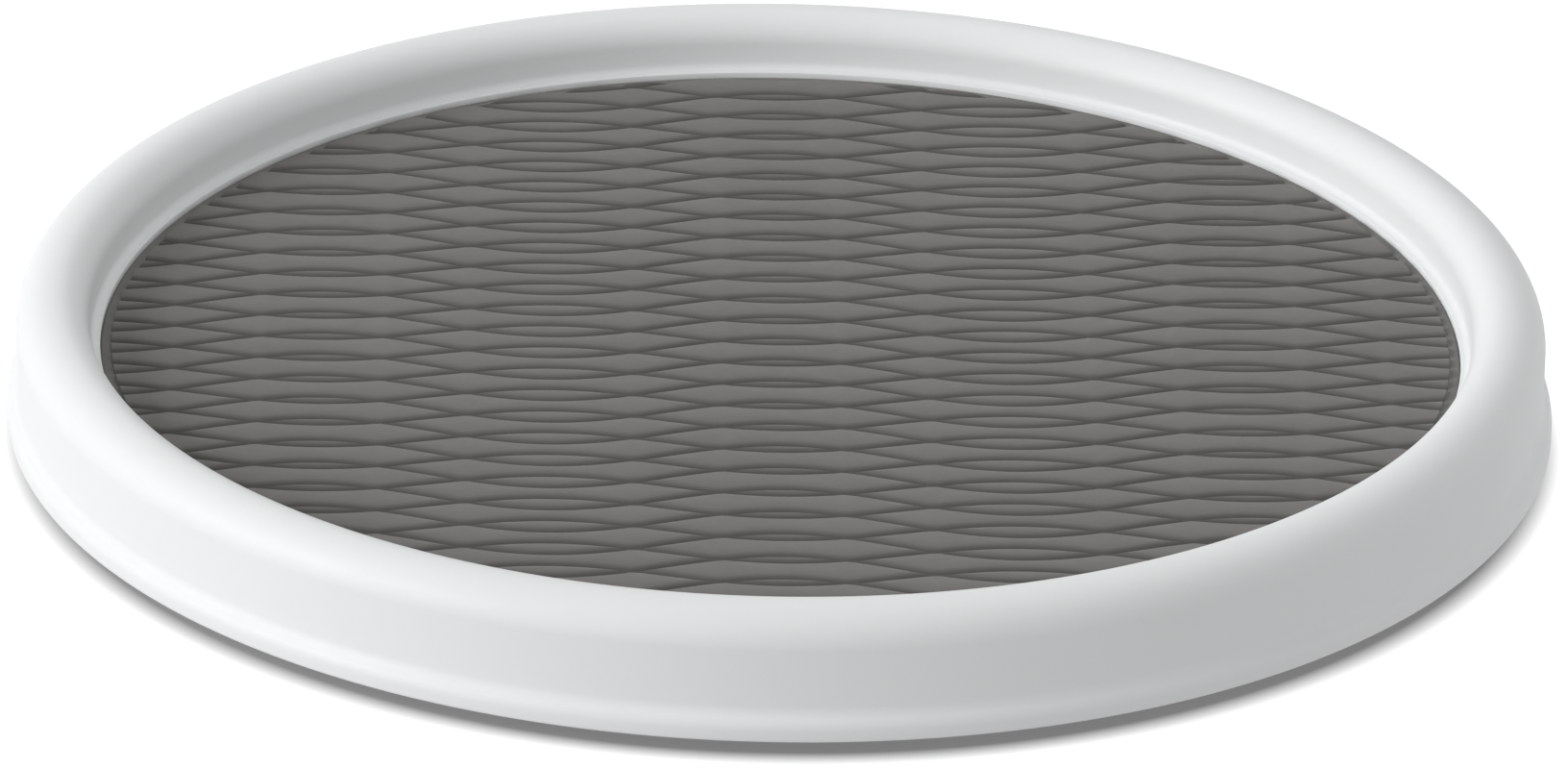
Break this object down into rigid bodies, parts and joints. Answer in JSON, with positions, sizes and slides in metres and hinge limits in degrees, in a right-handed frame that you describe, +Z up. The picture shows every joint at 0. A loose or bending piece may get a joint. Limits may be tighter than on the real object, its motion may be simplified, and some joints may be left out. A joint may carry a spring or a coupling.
{
  "type": "lazy susan turntable",
  "caption": "Round free-standing turntable: a shallow tray with a broad raised rim and a ribbed non-skid mat, turning on a ball ring above a footed base disc.",
  "frame": {"origin": "on the table under the middle of the pivot: the centre of the six feet's bottom plane", "axes": "+Z up along the tray's turning axis; -Y is the side the viewer sees; +X to the viewer's right"},
  "size_m": [0.3012, 0.3012, 0.0294],
  "materials": {
    "tray_plastic": "satin moulded polypropylene, white",
    "mat_rubber": "matt moulded soft rubber with a wave relief, warm mid grey",
    "base_plastic": "matt moulded polypropylene, white",
    "cage_plastic": "natural acetal, slightly waxy",
    "ball_steel": "polished bearing steel",
    "screw_steel": "bright zinc plate",
    "foot_rubber": "matt moulded soft rubber, grey"
  },
  "bodies": {
    "base": {"base_disc": "base_plastic", "foot_1": "foot_rubber", "foot_2": "foot_rubber", "foot_3": "foot_rubber", "foot_4": "foot_rubber", "foot_5": "foot_rubber", "foot_6": "foot_rubber"},
    "turntable": {"tray": "tray_plastic", "non_skid_mat": "mat_rubber", "pivot_screw": "screw_steel", "pivot_washer": "screw_steel"},
    "cage": {"ball_cage": "cage_plastic"},
    "bearing_ball_1": {"ball_1": "ball_steel"},
    "bearing_ball_2": {"ball_2": "ball_steel"},
    "bearing_ball_3": {"ball_3": "ball_steel"},
    "bearing_ball_4": {"ball_4": "ball_steel"},
    "bearing_ball_5": {"ball_5": "ball_steel"},
    "bearing_ball_6": {"ball_6": "ball_steel"},
    "bearing_ball_7": {"ball_7": "ball_steel"},
    "bearing_ball_8": {"ball_8": "ball_steel"},
    "bearing_ball_9": {"ball_9": "ball_steel"},
    "bearing_ball_10": {"ball_10": "ball_steel"},
    "bearing_ball_11": {"ball_11": "ball_steel"},
    "bearing_ball_12": {"ball_12": "ball_steel"},
    "bearing_ball_13": {"ball_13": "ball_steel"},
    "bearing_ball_14": {"ball_14": "ball_steel"},
    "bearing_ball_15": {"ball_15": "ball_steel"},
    "bearing_ball_16": {"ball_16": "ball_steel"}
  },
  "joints": [
    {"name": "tray_spin", "type": "hinge", "parent": "base", "child": "turntable", "pos_m": [0, 0, 0.008], "axis": [0, 0, 1], "continuous": true},
    {"name": "cage_spin", "type": "hinge", "parent": "base", "child": "cage", "pos_m": [0, 0, 0.008], "axis": [0, 0, 1], "continuous": true},
    {"name": "ball_1_roll", "type": "hinge", "parent": "cage", "child": "bearing_ball_1", "pos_m": [0.075, 0, 0.008], "axis": [1, 0, 0], "continuous": true},
    {"name": "ball_2_roll", "type": "hinge", "parent": "cage", "child": "bearing_ball_2", "pos_m": [0.06929, 0.0287, 0.008], "axis": [0.9239, 0.3827, 0], "continuous": true},
    {"name": "ball_3_roll", "type": "hinge", "parent": "cage", "child": "bearing_ball_3", "pos_m": [0.05303, 0.05303, 0.008], "axis": [0.7071, 0.7071, 0], "continuous": true},
    {"name": "ball_4_roll", "type": "hinge", "parent": "cage", "child": "bearing_ball_4", "pos_m": [0.0287, 0.06929, 0.008], "axis": [0.3827, 0.9239, 0], "continuous": true},
    {"name": "ball_5_roll", "type": "hinge", "parent": "cage", "child": "bearing_ball_5", "pos_m": [0, 0.075, 0.008], "axis": [0, 1, 0], "continuous": true},
    {"name": "ball_6_roll", "type": "hinge", "parent": "cage", "child": "bearing_ball_6", "pos_m": [-0.0287, 0.06929, 0.008], "axis": [-0.3827, 0.9239, 0], "continuous": true},
    {"name": "ball_7_roll", "type": "hinge", "parent": "cage", "child": "bearing_ball_7", "pos_m": [-0.05303, 0.05303, 0.008], "axis": [-0.7071, 0.7071, 0], "continuous": true},
    {"name": "ball_8_roll", "type": "hinge", "parent": "cage", "child": "bearing_ball_8", "pos_m": [-0.06929, 0.0287, 0.008], "axis": [-0.9239, 0.3827, 0], "continuous": true},
    {"name": "ball_9_roll", "type": "hinge", "parent": "cage", "child": "bearing_ball_9", "pos_m": [-0.075, 0, 0.008], "axis": [-1, 0, 0], "continuous": true},
    {"name": "ball_10_roll", "type": "hinge", "parent": "cage", "child": "bearing_ball_10", "pos_m": [-0.06929, -0.0287, 0.008], "axis": [-0.9239, -0.3827, 0], "continuous": true},
    {"name": "ball_11_roll", "type": "hinge", "parent": "cage", "child": "bearing_ball_11", "pos_m": [-0.05303, -0.05303, 0.008], "axis": [-0.7071, -0.7071, 0], "continuous": true},
    {"name": "ball_12_roll", "type": "hinge", "parent": "cage", "child": "bearing_ball_12", "pos_m": [-0.0287, -0.06929, 0.008], "axis": [-0.3827, -0.9239, 0], "continuous": true},
    {"name": "ball_13_roll", "type": "hinge", "parent": "cage", "child": "bearing_ball_13", "pos_m": [0, -0.075, 0.008], "axis": [0, -1, 0], "continuous": true},
    {"name": "ball_14_roll", "type": "hinge", "parent": "cage", "child": "bearing_ball_14", "pos_m": [0.0287, -0.06929, 0.008], "axis": [0.3827, -0.9239, 0], "continuous": true},
    {"name": "ball_15_roll", "type": "hinge", "parent": "cage", "child": "bearing_ball_15", "pos_m": [0.05303, -0.05303, 0.008], "axis": [0.7071, -0.7071, 0], "continuous": true},
    {"name": "ball_16_roll", "type": "hinge", "parent": "cage", "child": "bearing_ball_16", "pos_m": [0.06929, -0.0287, 0.008], "axis": [0.9239, -0.3827, 0], "continuous": true}
  ],
  "couplings": [
    {"joint": "cage_spin", "follows": "tray_spin", "ratio": 0.5},
    {"joint": "ball_1_roll", "follows": "tray_spin", "ratio": -12.5},
    {"joint": "ball_2_roll", "follows": "tray_spin", "ratio": -12.5},
    {"joint": "ball_3_roll", "follows": "tray_spin", "ratio": -12.5},
    {"joint": "ball_4_roll", "follows": "tray_spin", "ratio": -12.5},
    {"joint": "ball_5_roll", "follows": "tray_spin", "ratio": -12.5},
    {"joint": "ball_6_roll", "follows": "tray_spin", "ratio": -12.5},
    {"joint": "ball_7_roll", "follows": "tray_spin", "ratio": -12.5},
    {"joint": "ball_8_roll", "follows": "tray_spin", "ratio": -12.5},
    {"joint": "ball_9_roll", "follows": "tray_spin", "ratio": -12.5},
    {"joint": "ball_10_roll", "follows": "tray_spin", "ratio": -12.5},
    {"joint": "ball_11_roll", "follows": "tray_spin", "ratio": -12.5},
    {"joint": "ball_12_roll", "follows": "tray_spin", "ratio": -12.5},
    {"joint": "ball_13_roll", "follows": "tray_spin", "ratio": -12.5},
    {"joint": "ball_14_roll", "follows": "tray_spin", "ratio": -12.5},
    {"joint": "ball_15_roll", "follows": "tray_spin", "ratio": -12.5},
    {"joint": "ball_16_roll", "follows": "tray_spin", "ratio": -12.5}
  ]
}
